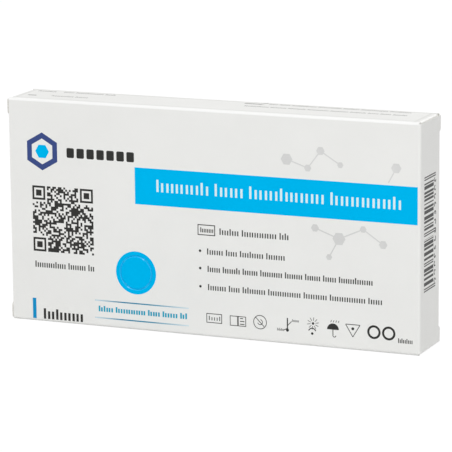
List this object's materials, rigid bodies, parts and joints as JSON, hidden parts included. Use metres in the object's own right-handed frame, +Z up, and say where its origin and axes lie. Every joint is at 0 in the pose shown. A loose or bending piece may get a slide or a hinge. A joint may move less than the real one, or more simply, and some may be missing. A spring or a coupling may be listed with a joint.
{
  "type": "rapid test kit carton",
  "caption": "Folding carton of a one-test rapid test kit, standing on its narrow side, with tuck-in lids that open at both ends and the sealed test pouch, buffer tube, swab and leaflet inside.",
  "frame": {"origin": "middle of the base that the carton stands on", "axes": "+Z up, front panel towards -Y, right lid towards +X, left lid towards -X"},
  "size_m": [0.15, 0.02, 0.078],
  "materials": {
    "board": "satin",
    "ink_blue": "satin",
    "ink_dark": "satin",
    "ink_grey": "satin",
    "ink_white": "satin",
    "foil": "satin",
    "leaflet_paper": "matte",
    "bag_film": "gloss",
    "tube_plastic": "gloss",
    "buffer": "gloss",
    "cap_plastic": "satin",
    "swab_plastic": "satin",
    "flock": "matte",
    "peel_paper": "matte",
    "peel_film": "gloss"
  },
  "bodies": {
    "carton": {"carton_body": "board", "print_blue": "ink_blue", "print_dark": "ink_dark", "print_grey": "ink_grey", "print_white": "ink_white", "foil_pouch": "foil", "leaflet": "leaflet_paper", "waste_bag": "bag_film", "buffer_tube": "tube_plastic", "buffer_liquid": "buffer", "tube_seal": "foil", "nozzle_cap": "cap_plastic", "swab_stick": "swab_plastic", "swab_tip": "flock", "swab_paper": "peel_paper", "swab_film": "peel_film"},
    "right_lid": {"right_lid": "board", "barcode": "ink_dark"},
    "left_lid": {"left_lid": "board"}
  },
  "joints": [
    {"name": "right_lid_fold", "type": "hinge", "parent": "carton", "child": "right_lid", "pos_m": [0.0741, -0.0091, 0.039], "axis": [0, 0, -1], "range_deg": [0, 120]},
    {"name": "left_lid_fold", "type": "hinge", "parent": "carton", "child": "left_lid", "pos_m": [-0.0741, 0.0091, 0.039], "axis": [0, 0, -1], "range_deg": [0, 120]}
  ]
}
